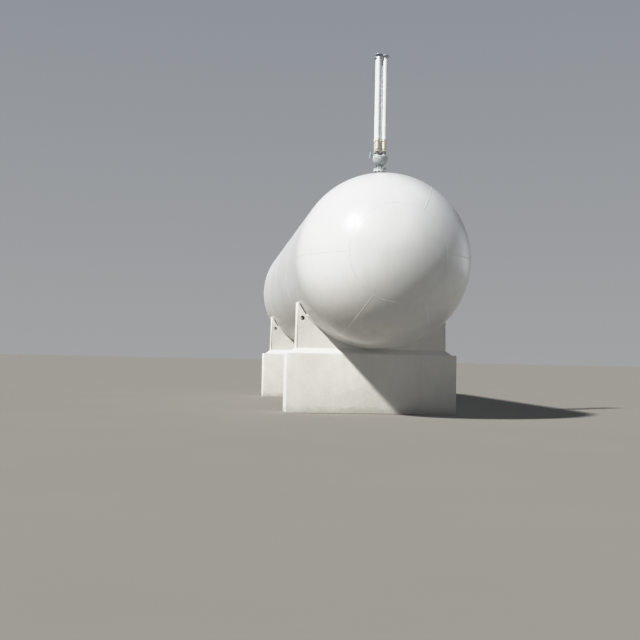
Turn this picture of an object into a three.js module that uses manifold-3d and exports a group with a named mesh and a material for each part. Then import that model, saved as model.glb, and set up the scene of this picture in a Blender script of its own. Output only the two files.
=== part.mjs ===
// Horizontal pressure storage tank for liquefied gas: a welded cylinder with two
// hemispherical heads, carried by two concrete saddles, with one cluster of four
// relief valves and vent stacks on its crown. Millimetres, +Z up, the tank's axis
// along Y, and the origin on the ground under the middle of the tank.

import * as THREE from "three";
import { mergeVertices } from "three/addons/utils/BufferGeometryUtils.js";
import Module from "manifold-3d";

const wasm = await Module();
wasm.setup();

// Vessel
const VESSEL_RADIUS = 1830;
const AXIS_HEIGHT = 3270;
const COURSE_COUNT = 4;
const COURSE_LENGTH = 2540;
const SHELL_PLATE = 22;
const HEAD_PLATE = 13;
const CAP_ANGLE = THREE.MathUtils.degToRad(32);
const PETAL_COUNT = 6;
const AROUND = 48;
const FIT_GAP = 0.3;

// Saddles
const SADDLE_INSET = 1275;
const FOOTING = { width: 3800, depth: 640, height: 1310 };
const WALL = { width: 3340, depth: 360, top: 2420 };
const SLOPE = { height: 110, ledge: 100 };
const HORN_HOLE = { x: 1550, z: 2075, radius: 45 };
const WEAR_PLATE = { thickness: 12, length: 420, halfAngle: THREE.MathUtils.degToRad(52.5) };

// Relief nozzle and valve cluster
const NOZZLE_FROM_SEAM = 500;
const REINFORCING_PAD = { radius: 190, thickness: 12 };
const NECK = { outer: 84, bore: 73, top: 150 };
const FLANGE = { radius: 140, thickness: 32, bore: 73 };
const BOWL = { neckRadius: 58, radius: 172, bottom: 300, rim: 462, top: 502 };
const PORT = { spacing: 145, radius: 50, top: 518 };
const SELECTOR = { reach: 220, wheelRadius: 68, wheelThickness: 22, stemRadius: 13, height: 508 };
const SELECTOR_BOSS = { radius: 24, root: 20, face: 184 };
const BONNET = { radius: 33, top: 560 };
const VALVE = { inlet: 36, nipple: 56, hex: 54, body: 55, shoulder: 47, outlet: 58, height: 317 };
const STACK = { outer: 51, bore: 46, collar: 58, collarHeight: 45, length: 1820 };
const RAIN_CAP = { radius: 88, rise: 26, plate: 3, lowClearance: 16, highClearance: 42 };
const CAP_LEG = { count: 3, width: 14, thickness: 4, overlap: 50 };

const SHELL_LENGTH = COURSE_COUNT * COURSE_LENGTH;
const SEAM = SHELL_LENGTH / 2;
const FACET = (2 * Math.PI) / AROUND;

const vesselPaint = new THREE.MeshStandardMaterial({ color: 0xeceeee, roughness: 0.25, metalness: 0 });
const concretePaint = new THREE.MeshStandardMaterial({ color: 0xd9d8d3, roughness: 0.85, metalness: 0 });
const padPaint = new THREE.MeshStandardMaterial({ color: 0xdfe0de, roughness: 0.4, metalness: 0 });
const castPaint = new THREE.MeshStandardMaterial({ color: 0xa9b3b3, roughness: 0.5, metalness: 0.2 });
const wheelIron = new THREE.MeshStandardMaterial({ color: 0x8fa3b4, roughness: 0.55, metalness: 0.3 });
const valveBrass = new THREE.MeshStandardMaterial({ color: 0xb39a72, roughness: 0.4, metalness: 0.9 });
const stackPaint = new THREE.MeshStandardMaterial({ color: 0xf1f4f6, roughness: 0.3, metalness: 0 });
const capPaint = new THREE.MeshStandardMaterial({ color: 0xc3cdd8, roughness: 0.45, metalness: 0.1 });

function solid(geometry) {
  const bare = geometry.clone();
  bare.deleteAttribute("normal");
  bare.deleteAttribute("uv");
  const merged = mergeVertices(bare, 1e-3);
  const mesh = new wasm.Mesh({
    numProp: 3,
    vertProperties: new Float32Array(merged.attributes.position.array),
    triVerts: new Uint32Array(merged.index.array),
  });
  return new wasm.Manifold(mesh);
}

function geometryOf(manifold) {
  const mesh = manifold.getMesh();
  const geometry = new THREE.BufferGeometry();
  geometry.setAttribute("position", new THREE.BufferAttribute(mesh.vertProperties, 3));
  geometry.setIndex(new THREE.BufferAttribute(mesh.triVerts, 1));
  geometry.computeVertexNormals();
  return geometry;
}

function piece(name, geometry, material, parent) {
  const mesh = new THREE.Mesh(geometry, material);
  mesh.name = name;
  parent.add(mesh);
  return mesh;
}

// A ring or disc about the local Y axis, from [radius, height] points. The profile
// starts and ends on the axis, or closes on itself where closed is true.
function turned(points, segments, closed = false) {
  const profile = points.map(([radius, height]) => new THREE.Vector2(radius, height));
  if (closed) {
    profile.push(profile[0].clone());
  }
  return new THREE.LatheGeometry(profile, segments);
}

function upright(geometry) {
  return geometry.rotateX(Math.PI / 2);
}

function cylinderAlongY(radius, length, segments, x, y, z) {
  return new THREE.CylinderGeometry(radius, radius, length, segments).translate(x, y, z);
}

// A block mapped onto a thick patch of the spherical head: its width runs around the
// axis, its height runs away from the pole and its depth is the plate.
function spherePatch(turnStart, turnEnd, awayStart, awayEnd, turnSteps, awaySteps) {
  const block = new THREE.BoxGeometry(1, 1, 1, turnSteps, awaySteps, 1);
  const place = block.attributes.position;
  for (let i = 0; i < place.count; i += 1) {
    const turn = THREE.MathUtils.lerp(turnStart, turnEnd, place.getX(i) + 0.5);
    const away = THREE.MathUtils.lerp(awayStart, awayEnd, 0.5 - place.getY(i));
    const radius = VESSEL_RADIUS - HEAD_PLATE * (0.5 - place.getZ(i));
    const ring = radius * Math.sin(away);
    place.setXYZ(i, ring * Math.cos(turn), -radius * Math.cos(away), ring * Math.sin(turn));
  }
  return block;
}

// The dished plate at the pole, turned from an arc over the plate's two faces.
function polarCap() {
  const edge = CAP_ANGLE - FIT_GAP / 2 / VESSEL_RADIUS;
  const steps = 5;
  const outer = [];
  const inner = [];
  for (let i = 0; i <= steps; i += 1) {
    const away = (edge * i) / steps;
    outer.push([VESSEL_RADIUS * Math.sin(away), -VESSEL_RADIUS * Math.cos(away)]);
    inner.push([(VESSEL_RADIUS - HEAD_PLATE) * Math.sin(away), -(VESSEL_RADIUS - HEAD_PLATE) * Math.cos(away)]);
  }
  return turned([...outer, ...inner.reverse()], AROUND);
}

function makeHead(prefix, parent) {
  piece(`${prefix}_head_polar_cap`, polarCap(), vesselPaint, parent);
  const span = (2 * Math.PI) / PETAL_COUNT;
  const halfGap = FIT_GAP / 2 / VESSEL_RADIUS;
  const sideGap = halfGap / Math.sin(CAP_ANGLE);
  for (let i = 0; i < PETAL_COUNT; i += 1) {
    const patch = spherePatch(
      i * span + sideGap,
      (i + 1) * span - sideGap,
      CAP_ANGLE + halfGap,
      Math.PI / 2,
      AROUND / PETAL_COUNT,
      8
    );
    piece(`${prefix}_head_petal_${i + 1}`, patch, vesselPaint, parent);
  }
}

function courseRing(start) {
  const inner = VESSEL_RADIUS - SHELL_PLATE;
  return turned(
    [
      [inner, start],
      [VESSEL_RADIUS, start],
      [VESSEL_RADIUS, start + COURSE_LENGTH],
      [inner, start + COURSE_LENGTH],
    ],
    AROUND,
    true
  );
}

function makeShell(parent) {
  const nozzleY = -SEAM + NOZZLE_FROM_SEAM;
  for (let i = 0; i < COURSE_COUNT; i += 1) {
    let ring = courseRing(-SEAM + i * COURSE_LENGTH);
    if (i === 0) {
      const drill = upright(new THREE.CylinderGeometry(NECK.bore, NECK.bore, 200, 24));
      drill.translate(0, nozzleY, VESSEL_RADIUS);
      ring = geometryOf(solid(ring).subtract(solid(drill)));
    }
    piece(`shell_course_${i + 1}`, ring, vesselPaint, parent);
  }
}

// A block whose top face is smaller than its bottom face.
function taperedBlock(bottom, top, height) {
  const block = new THREE.BoxGeometry(bottom.width, bottom.depth, height);
  const place = block.attributes.position;
  for (let i = 0; i < place.count; i += 1) {
    if (place.getZ(i) > 0) {
      place.setX(i, Math.sign(place.getX(i)) * (top.width / 2));
      place.setY(i, Math.sign(place.getY(i)) * (top.depth / 2));
    }
  }
  return block;
}

function saddleBlock() {
  const footing = new THREE.BoxGeometry(FOOTING.width, FOOTING.depth, FOOTING.height);
  footing.translate(0, 0, FOOTING.height / 2);
  const slopeFoot = { width: FOOTING.width - 2 * SLOPE.ledge, depth: FOOTING.depth };
  const slope = taperedBlock(slopeFoot, WALL, SLOPE.height);
  slope.translate(0, 0, FOOTING.height + SLOPE.height / 2);
  const wallBottom = FOOTING.height + SLOPE.height;
  const wall = new THREE.BoxGeometry(WALL.width, WALL.depth, WALL.top - wallBottom);
  wall.translate(0, 0, (WALL.top + wallBottom) / 2);
  const troughRadius = VESSEL_RADIUS + WEAR_PLATE.thickness + 2 * FIT_GAP;
  const trough = cylinderAlongY(troughRadius, 2 * FOOTING.depth, AROUND, 0, 0, AXIS_HEIGHT);
  let block = solid(footing).add(solid(slope)).add(solid(wall)).subtract(solid(trough));
  for (const side of [-1, 1]) {
    const { x, z, radius } = HORN_HOLE;
    block = block.subtract(solid(cylinderAlongY(radius, 2 * WALL.depth, 16, side * x, 0, z)));
  }
  return geometryOf(block);
}

// The curved plate between the vessel and a saddle, bent from a flat block.
function wearPlate() {
  const steps = Math.round((2 * WEAR_PLATE.halfAngle) / FACET);
  const block = new THREE.BoxGeometry(1, WEAR_PLATE.length, 1, steps, 1, 1);
  const place = block.attributes.position;
  for (let i = 0; i < place.count; i += 1) {
    const angle = place.getX(i) * 2 * WEAR_PLATE.halfAngle;
    const radius = VESSEL_RADIUS + FIT_GAP + WEAR_PLATE.thickness * (0.5 - place.getZ(i));
    place.setX(i, radius * Math.sin(angle));
    place.setZ(i, AXIS_HEIGHT - radius * Math.cos(angle));
  }
  return block;
}

function makeSaddle(prefix, y, parent) {
  const stand = new THREE.Group();
  stand.position.y = y;
  parent.add(stand);
  piece(`${prefix}_saddle`, saddleBlock(), concretePaint, stand);
  piece(`${prefix}_wear_plate`, wearPlate(), padPaint, stand);
}

// The pad and the neck follow the shell, so both are cut by a cylinder about its axis.
function shellCut(radius) {
  return solid(cylinderAlongY(radius, 600, AROUND, 0, 0, -VESSEL_RADIUS));
}

function reinforcingPad() {
  const outer = VESSEL_RADIUS + FIT_GAP + REINFORCING_PAD.thickness;
  const disc = solid(upright(new THREE.CylinderGeometry(REINFORCING_PAD.radius, REINFORCING_PAD.radius, 200, 32)));
  const hole = solid(upright(new THREE.CylinderGeometry(NECK.outer + FIT_GAP, NECK.outer + FIT_GAP, 300, 24)));
  return geometryOf(disc.intersect(shellCut(outer)).subtract(shellCut(VESSEL_RADIUS + FIT_GAP)).subtract(hole));
}

function neckTube() {
  const height = NECK.top + 100;
  const tube = turned(
    [
      [NECK.bore, -100],
      [NECK.outer, -100],
      [NECK.outer, height - 100],
      [NECK.bore, height - 100],
    ],
    24,
    true
  );
  return geometryOf(solid(upright(tube)).subtract(shellCut(VESSEL_RADIUS + FIT_GAP)));
}

function nozzleFlange() {
  const ring = turned(
    [
      [FLANGE.bore, 0],
      [FLANGE.radius, 0],
      [FLANGE.radius, FLANGE.thickness],
      [FLANGE.bore, FLANGE.thickness],
    ],
    32,
    true
  );
  return upright(ring).translate(0, 0, NECK.top);
}

function portPlaces() {
  const half = PORT.spacing / 2;
  return [
    [-half, -half],
    [half, -half],
    [half, half],
    [-half, half],
  ];
}

// One casting: a bolting flange, a short neck, a bowl, four valve ports, and the
// selector's bonnet between them with the boss for its stem.
function manifoldCasting() {
  const foot = NECK.top + FLANGE.thickness + FIT_GAP;
  const bowlArc = 6;
  const profile = [
    [0, foot],
    [FLANGE.radius, foot],
    [FLANGE.radius, foot + FLANGE.thickness],
    [BOWL.neckRadius + 12, foot + FLANGE.thickness + 6],
    [BOWL.neckRadius, foot + FLANGE.thickness + 20],
  ];
  for (let i = 0; i <= bowlArc; i += 1) {
    const turn = (Math.PI / 2) * (i / bowlArc);
    profile.push([
      BOWL.neckRadius + (BOWL.radius - BOWL.neckRadius) * Math.sin(turn),
      BOWL.rim - (BOWL.rim - BOWL.bottom) * Math.cos(turn),
    ]);
  }
  profile.push([BOWL.radius - 14, BOWL.rim + 22], [60, BOWL.top], [0, BOWL.top]);
  let casting = solid(upright(turned(profile, 32)));
  for (const [x, y] of portPlaces()) {
    const port = upright(new THREE.CylinderGeometry(PORT.radius, PORT.radius, PORT.top - BOWL.rim, 16));
    port.translate(x, y, (PORT.top + BOWL.rim) / 2);
    casting = casting.add(solid(port));
  }
  const bonnet = upright(new THREE.CylinderGeometry(BONNET.radius, BONNET.radius, BONNET.top - BOWL.rim, 16));
  bonnet.translate(0, 0, (BONNET.top + BOWL.rim) / 2);
  casting = casting.add(solid(bonnet));
  const { radius, root, face } = SELECTOR_BOSS;
  const boss = new THREE.CylinderGeometry(radius, radius, face - root, 12);
  boss.rotateZ(Math.PI / 2).translate(-(root + face) / 2, 0, SELECTOR.height);
  return geometryOf(casting.add(solid(boss)));
}

function selectorWheel() {
  const rimInner = SELECTOR.wheelRadius - 14;
  const rim = turned(
    [
      [rimInner, -SELECTOR.wheelThickness / 2],
      [SELECTOR.wheelRadius, -SELECTOR.wheelThickness / 2],
      [SELECTOR.wheelRadius, SELECTOR.wheelThickness / 2],
      [rimInner, SELECTOR.wheelThickness / 2],
    ],
    16,
    true
  );
  let wheel = solid(rim);
  for (let i = 0; i < 2; i += 1) {
    const spoke = new THREE.BoxGeometry(2 * rimInner + 6, 8, 14);
    spoke.rotateY((Math.PI / 2) * i);
    wheel = wheel.add(solid(spoke));
  }
  const stemEnd = SELECTOR.reach - SELECTOR_BOSS.face - FIT_GAP;
  const nut = SELECTOR.wheelThickness / 2 + 6;
  const stem = cylinderAlongY(SELECTOR.stemRadius, stemEnd + nut, 12, 0, (stemEnd - nut) / 2, 0);
  return geometryOf(wheel.add(solid(stem)));
}

function reliefValve() {
  const { inlet, nipple, hex, body, shoulder, outlet, height } = VALVE;
  const bore = STACK.bore;
  return upright(
    turned(
      [
        [0, 0],
        [inlet, 0],
        [inlet, nipple],
        [hex, nipple + 2],
        [hex, nipple + 38],
        [shoulder, nipple + 46],
        [shoulder, nipple + 54],
        [body, nipple + 66],
        [body, height - 70],
        [shoulder, height - 58],
        [shoulder, height - 48],
        [outlet, height - 42],
        [outlet, height],
        [bore, height],
        [bore, height - 60],
        [0, height - 60],
      ],
      16
    )
  );
}

function stackPipe() {
  const { outer, bore, collar, collarHeight, length } = STACK;
  return upright(
    turned(
      [
        [bore, 0],
        [collar, 0],
        [collar, collarHeight],
        [outer, collarHeight + 10],
        [outer, length],
        [bore, length],
      ],
      16,
      true
    )
  );
}

// A shallow cone on three legs that are welded to the outside of the pipe.
function rainCap(clearance) {
  const { radius, rise, plate } = RAIN_CAP;
  const cone = upright(
    turned(
      [
        [0, clearance + rise - plate],
        [radius, clearance - plate],
        [radius, clearance],
        [0, clearance + rise],
      ],
      20
    )
  );
  let cap = solid(cone);
  const legRadius = STACK.outer + FIT_GAP + CAP_LEG.thickness / 2;
  const legTop = clearance + rise * (1 - legRadius / radius) - plate / 2;
  const legHeight = legTop + CAP_LEG.overlap;
  for (let i = 0; i < CAP_LEG.count; i += 1) {
    const leg = new THREE.BoxGeometry(CAP_LEG.thickness, CAP_LEG.width, legHeight);
    leg.translate(legRadius, 0, legTop - legHeight / 2);
    leg.rotateZ((2 * Math.PI * i) / CAP_LEG.count);
    cap = cap.add(solid(leg));
  }
  return geometryOf(cap);
}

function makeReliefCluster(parent) {
  const cluster = new THREE.Group();
  cluster.position.set(0, -SEAM + NOZZLE_FROM_SEAM, AXIS_HEIGHT + VESSEL_RADIUS);
  parent.add(cluster);
  piece("relief_nozzle_pad", reinforcingPad(), vesselPaint, cluster);
  piece("relief_nozzle_neck", neckTube(), vesselPaint, cluster);
  piece("relief_nozzle_flange", nozzleFlange(), vesselPaint, cluster);

  piece("relief_manifold", manifoldCasting(), castPaint, cluster);
  const wheel = piece("selector_handwheel", selectorWheel(), wheelIron, cluster);
  wheel.position.set(-SELECTOR.reach, 0, SELECTOR.height);
  wheel.rotation.z = -Math.PI / 2;

  // The caps are wider than the pipes' spacing, so neighbours sit at two heights.
  portPlaces().forEach(([x, y], i) => {
    const stack = new THREE.Group();
    stack.position.set(x, y, PORT.top + FIT_GAP);
    cluster.add(stack);
    piece(`relief_valve_${i + 1}`, reliefValve(), valveBrass, stack);
    const pipe = piece(`vent_stack_${i + 1}`, stackPipe(), stackPaint, stack);
    pipe.position.z = VALVE.height + FIT_GAP;
    const clearance = i % 2 === 0 ? RAIN_CAP.highClearance : RAIN_CAP.lowClearance;
    const cap = piece(`rain_cap_${i + 1}`, rainCap(clearance), capPaint, stack);
    cap.position.z = pipe.position.z + STACK.length;
    cap.rotation.z = Math.atan2(-y, -x);
  });
}

function makeTank() {
  const tank = new THREE.Group();
  const vessel = new THREE.Group();
  vessel.position.z = AXIS_HEIGHT;
  tank.add(vessel);
  makeShell(vessel);

  const frontHead = new THREE.Group();
  frontHead.position.y = -SEAM;
  vessel.add(frontHead);
  makeHead("front", frontHead);

  const rearHead = new THREE.Group();
  rearHead.position.y = SEAM;
  rearHead.rotation.z = Math.PI;
  vessel.add(rearHead);
  makeHead("rear", rearHead);

  makeSaddle("front", -SEAM + SADDLE_INSET, tank);
  makeSaddle("rear", SEAM - SADDLE_INSET, tank);
  makeReliefCluster(tank);
  return tank;
}

export default makeTank();
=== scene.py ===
"""A horizontal gas storage tank on two concrete saddles, dressed around its construction.

Metres, +Z up, the vessel's axis along Y, and the front head towards -Y.
"""

import math

import bmesh
import bpy
from mathutils import Matrix, Vector, noise


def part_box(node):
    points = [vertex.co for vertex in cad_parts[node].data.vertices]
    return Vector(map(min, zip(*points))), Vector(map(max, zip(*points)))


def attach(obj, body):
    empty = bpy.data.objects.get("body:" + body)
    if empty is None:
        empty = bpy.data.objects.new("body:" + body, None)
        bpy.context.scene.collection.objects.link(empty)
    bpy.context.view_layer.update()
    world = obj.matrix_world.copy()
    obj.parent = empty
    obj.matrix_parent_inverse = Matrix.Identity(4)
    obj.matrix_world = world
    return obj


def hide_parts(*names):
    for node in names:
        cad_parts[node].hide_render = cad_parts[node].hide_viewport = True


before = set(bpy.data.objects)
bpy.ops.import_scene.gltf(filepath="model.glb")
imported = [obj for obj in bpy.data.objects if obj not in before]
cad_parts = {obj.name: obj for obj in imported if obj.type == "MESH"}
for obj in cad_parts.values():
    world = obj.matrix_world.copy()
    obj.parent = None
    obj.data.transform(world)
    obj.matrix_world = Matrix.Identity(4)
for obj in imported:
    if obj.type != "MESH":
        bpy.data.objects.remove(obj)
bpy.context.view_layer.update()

# Camera, matched to a square picture
PICTURE_WIDTH = 640
FOCAL_PIXELS = 886.513
SENSOR_WIDTH_MM = 36.0
EYE = Vector((-3.6410, -23.2995, 1.2050))
LOOK_YAW = math.radians(7.3160)
LOOK_PITCH = math.radians(2.4490)
LOOK_ROLL = math.radians(1.1650)

# Light
TOWARDS_SUN = Vector((-0.638, -0.379, 0.671))
SUN_STRENGTH = 4.9
SUN_SPREAD = math.radians(3.0)
SUN_COLOUR = (1.0, 0.985, 0.96)
SKY_STRENGTH = 0.165
SKY_LOW = (0.86, 0.87, 0.88, 1.0)
SKY_HIGH = (0.50, 0.58, 0.70, 1.0)
SKY_HIGH_FROM = 0.8
# The sky is brighter towards +X and +Y: axis, where that starts and is full, and how many times
BRIGHT_SIDES = (("X", 0.6, 1.0, 7.6), ("Y", 0.1, 0.9, 2.6))
BACKDROP_STRENGTH = 0.50
FLOOR_HALF = 400.0

# Tone curve: (light, tone) points
TONES = (
    *((0.12, 0.09), (0.20, 0.15), (0.28, 0.206), (0.36, 0.288), (0.45, 0.378)),
    *((0.57, 0.515), (0.70, 0.654), (0.84, 0.778), (1.07, 0.88), (1.36, 0.93)),
)
WHITEST_LIGHT = 1.8
WHITEST_TONE = 0.97

# Vessel plates
SHELL_PLATE = 0.022
HEAD_PLATE = 0.013
WELD_SINK = 0.0015
WELD_SINK_REACH = 0.075
PLATE_WAVE = 0.0012
PLATE_WAVE_LENGTH = 0.55
LONG_SEAM_DEGREES = (60, 125, 52.5, 117.5)
COURSE_STEP_DEGREES = 2.5
COURSE_STEPS_ALONG = 26
BESIDE_SEAM_DEGREES = (0.4, 0.9, 1.6)
PETAL_STEPS = (30, 28)
CAP_STEPS = (16, 96)

# Weld beads: width, height, unevenness and seed
VESSEL_BEAD = (0.021, 0.0014, 0.5, 3.0)
WEAR_PLATE_BEAD = (0.020, 0.009, 0.5, 7.0)
NOZZLE_BEAD = (0.018, 0.008, 0.4, 11.0)
BEAD_STEP = 0.03
BEAD_SIDES = 10
BEAD_SWELLS = 9.0
BEAD_RIPPLES = 900.0

# Saddles
FOOTING_HEIGHT = 1.31
WALL_DEPTH = 0.36
WALL_WIDTH = 3.34
SHOULDER_HEIGHT = 0.11
SHOULDER_LEDGE = 0.10
HORN_HOLE_X = 1.55
HORN_HOLE_Z = 2.075
HORN_HOLE_RADIUS = 0.045
HORN_HOLE_SEGMENTS = 40
ARRIS = 0.012
ARRIS_ANGLE = math.radians(25)
TROUGH_CLEARANCE = 0.0126
TROUGH_STEPS = 96
WEAR_PLATE_THICKNESS = 0.012
WEAR_PLATE_HALF_ANGLE = math.radians(52.5)
WEAR_PLATE_CORNER = 0.06
WEAR_PLATE_CUTS = 80

# Edges that bend by more than this many degrees stay sharp
SHARP = 35.0
SHARP_ON_PLATE = 50.0
SHARP_ON_SADDLE = 40.0
SHARP_ON_CASTING = 60.0

FIT_GAP = 0.0003
ON_AXIS = 1e-6
NUT_SLOPE = 0.6
EASE_SHARE = 0.45
QUARTER_TURN = math.pi / 2
FULL_TURN = 2 * math.pi

shell_low, shell_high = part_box("shell_course_2")
RADIUS = (shell_high.x - shell_low.x) / 2
AXIS_Z = (shell_high.z + shell_low.z) / 2
COURSE_LENGTH = shell_high.y - shell_low.y
FRONT_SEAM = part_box("shell_course_1")[0].y
REAR_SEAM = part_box("shell_course_4")[1].y
CROWN = AXIS_Z + RADIUS
cap_low, cap_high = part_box("front_head_polar_cap")
CAP_ANGLE = math.asin((cap_high.x - cap_low.x) / 2 / RADIUS)
PETAL_COUNT = sum(name.startswith("front_head_petal_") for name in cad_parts)
PETAL_SPAN = FULL_TURN / PETAL_COUNT


def middle(node):
    low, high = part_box(node)
    return (low + high) / 2


# Cluster on the crown
STACK_COUNT = sum(name.startswith("vent_stack_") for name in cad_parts)
CLUSTER = middle("relief_nozzle_flange")
first_stack, second_stack = middle("vent_stack_1"), middle("vent_stack_2")
CLUSTER_TURN = math.atan2(second_stack.y - first_stack.y, second_stack.x - first_stack.x)


# Shapes


def turns(count):
    """Even steps round a full turn."""
    return [FULL_TURN * step / count for step in range(count)]


def shares(count):
    """Even steps from 0 to 1, with both ends."""
    return [step / count for step in range(count + 1)]


def round_point(radius, turn):
    return radius * math.cos(turn), radius * math.sin(turn)


def rod(radius, low, high):
    """The profile of a round bar."""
    return [(0.0, low), (radius, low), (radius, high), (0.0, high)]


def tube(bore, radius, low, high):
    return [(bore, low), (radius, low), (radius, high), (bore, high)]


def raised(profile, level):
    return [(radius, level + height) for radius, height in profile]


def standing(point, height, turn=0.0):
    """A place at a height over a point, turned about the upright."""
    return Matrix.Translation((point.x, point.y, height)) @ Matrix.Rotation(turn, 4, "Z")


def lying(place):
    """Turns a solid's own Z axis to point along -X, then puts it in place."""
    return place @ Matrix.Rotation(-QUARTER_TURN, 4, "Y")


def signed_volume(vertices, faces):
    total = 0.0
    for face in faces:
        first = vertices[face[0]]
        for second, third in zip(face[1:], face[2:]):
            total += first.dot(vertices[second].cross(vertices[third]))
    return total / 6


class Shape:
    """Closed solids gathered into one piece, each with its own finish."""

    def __init__(self):
        self.vertices = []
        self.faces = []
        self.finishes = []

    def add(self, solid, place=None, finish=0):
        vertices, faces = solid
        if place is not None:
            vertices = [place @ vertex for vertex in vertices]
        if signed_volume(vertices, faces) < 0:
            faces = [face[::-1] for face in faces]
        start = len(self.vertices)
        self.vertices += vertices
        self.faces += [[start + index for index in face] for face in faces]
        self.finishes += [finish] * len(faces)

    def mesh(self, name, materials, sharp=SHARP):
        mesh = bpy.data.meshes.new(name)
        mesh.from_pydata(self.vertices, [], self.faces)
        for material in materials:
            mesh.materials.append(material)
        mesh.polygons.foreach_set("material_index", self.finishes)
        shade(mesh, sharp)
        return mesh

    def piece(self, name, materials):
        return placed(self.mesh(name, materials), name)


def shade(mesh, sharp):
    mesh.shade_smooth()
    mesh.set_sharp_from_angle(angle=math.radians(sharp))


def placed(data, name):
    thing = bpy.data.objects.new(name, data)
    bpy.context.scene.collection.objects.link(thing)
    return thing


def fit(piece, slot, *nodes):
    """A finished piece moves with the tank and stands for the named parts."""
    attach(piece, "root")
    if nodes:
        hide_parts(*nodes)


def fit_solid(solid, place, name, finish, slot, *nodes):
    """One solid as a piece of its own."""
    shape = Shape()
    shape.add(solid, place)
    fit(shape.piece(name, [finish]), slot, *nodes)


def turned(profile, segments):
    """A solid of revolution about Z. A profile that stays off the axis closes on itself."""
    vertices = []
    rings = []
    for radius, height in profile:
        start = len(vertices)
        if radius < ON_AXIS:
            rings.append([start] * segments)
            vertices.append(Vector((0.0, 0.0, height)))
        else:
            rings.append(list(range(start, start + segments)))
            vertices += [Vector((*round_point(radius, turn), height)) for turn in turns(segments)]
    following = rings[1:]
    if profile[0][0] > ON_AXIS:
        following = following + rings[:1]
    faces = []
    for lower, upper in zip(rings, following):
        for step in range(segments):
            after = (step + 1) % segments
            corners = dict.fromkeys((lower[step], lower[after], upper[after], upper[step]))
            if len(corners) > 2:
                faces.append(list(corners))
    return vertices, faces


def eased(profile, radius, steps=3):
    """Rounds the corners of an outline. Its end points stay where they touch the axis."""
    points = [Vector(point) for point in profile]
    closes = profile[0][0] > ON_AXIS
    rounded = []
    for index, corner in enumerate(points):
        at_end = index in (0, len(points) - 1)
        if at_end and not closes:
            rounded.append(tuple(corner))
            continue
        before = points[index - 1] - corner
        after = points[(index + 1) % len(points)] - corner
        reach = min(radius, EASE_SHARE * before.length, EASE_SHARE * after.length)
        start = corner + before.normalized() * reach
        end = corner + after.normalized() * reach
        for along in shares(steps):
            bend = start.lerp(corner, along).lerp(corner.lerp(end, along), along)
            rounded.append(tuple(bend))
    return rounded


def prism(outline, low, high):
    """An upright prism on a flat outline."""
    count = len(outline)
    vertices = [Vector((x, y, height)) for height in (low, high) for x, y in outline]
    faces = [list(range(count))[::-1], list(range(count, 2 * count))]
    for index in range(count):
        after = (index + 1) % count
        faces.append([index, after, count + after, count + index])
    return vertices, faces


def chamfered_hexagon(across_corners, low, high, chamfer):
    """A nut's body: six flats, with both ends turned down at their corners."""
    outer = across_corners / 2
    inner = outer - chamfer
    fall = chamfer * NUT_SLOPE
    edges = ((inner, low), (outer, low + fall), (outer, high - fall), (inner, high))
    return turned([(0.0, low), *edges, (0.0, high)], 6)


def box_corners(half_width, half_depth):
    return [(x * half_width, y * half_depth) for x, y in ((-1, -1), (1, -1), (1, 1), (-1, 1))]


def slab(width, depth, height, ease=0.0):
    """A block with eased upright corners, on the origin's plane."""
    corners = box_corners(width / 2, depth / 2)
    if ease:
        flat = eased([(x + width, y) for x, y in corners], ease, steps=2)
        corners = [(x - width, y) for x, y in flat]
    return prism(corners, 0.0, height)


# Repeats and lines that follow a surface, by geometry nodes

BEAD_INPUTS = ("Width", "Height", "Unevenness", "Seed")


def add_node(tree, kind, sockets=None, **settings):
    """A node's outputs. Its sockets are set from values, or linked from other nodes' outputs."""
    node = tree.nodes.new(kind)
    for name, value in settings.items():
        setattr(node, name, value)
    for name, value in (sockets or {}).items():
        socket = node.inputs[name]
        if isinstance(value, bpy.types.NodeSocket):
            tree.links.new(value, socket)
        else:
            socket.default_value = value
    return node.outputs


def math_node(tree, operation, *values):
    return add_node(tree, "ShaderNodeMath", dict(enumerate(values)), operation=operation)[0]


def remapped(tree, value, low, high, new_low=0.0, new_high=1.0, smooth=False):
    names = ("Value", "From Min", "From Max", "To Min", "To Max")
    sockets = dict(zip(names, (value, low, high, new_low, new_high)))
    kind = "SMOOTHSTEP" if smooth else "LINEAR"
    return add_node(tree, "ShaderNodeMapRange", sockets, interpolation_type=kind)[0]


def node_tree(name, inputs):
    """A new tree with its named inputs, and the sockets that bring them in."""
    tree = bpy.data.node_groups.new(name, "GeometryNodeTree")
    tree.is_modifier = True
    for title, kind in {"Geometry": "Geometry", **inputs}.items():
        tree.interface.new_socket(title, in_out="INPUT", socket_type=f"NodeSocket{kind}")
    tree.interface.new_socket("Geometry", in_out="OUTPUT", socket_type="NodeSocketGeometry")
    return tree, add_node(tree, "NodeGroupInput")


def end_tree(tree, geometry, finish):
    """Every tree ends in plain geometry that carries its finish."""
    whole = add_node(tree, "GeometryNodeRealizeInstances", {"Geometry": geometry})
    painted = add_node(tree, "GeometryNodeSetMaterial", {"Geometry": whole[0], "Material": finish})
    add_node(tree, "NodeGroupOutput", {0: painted[0]})
    return tree


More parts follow.
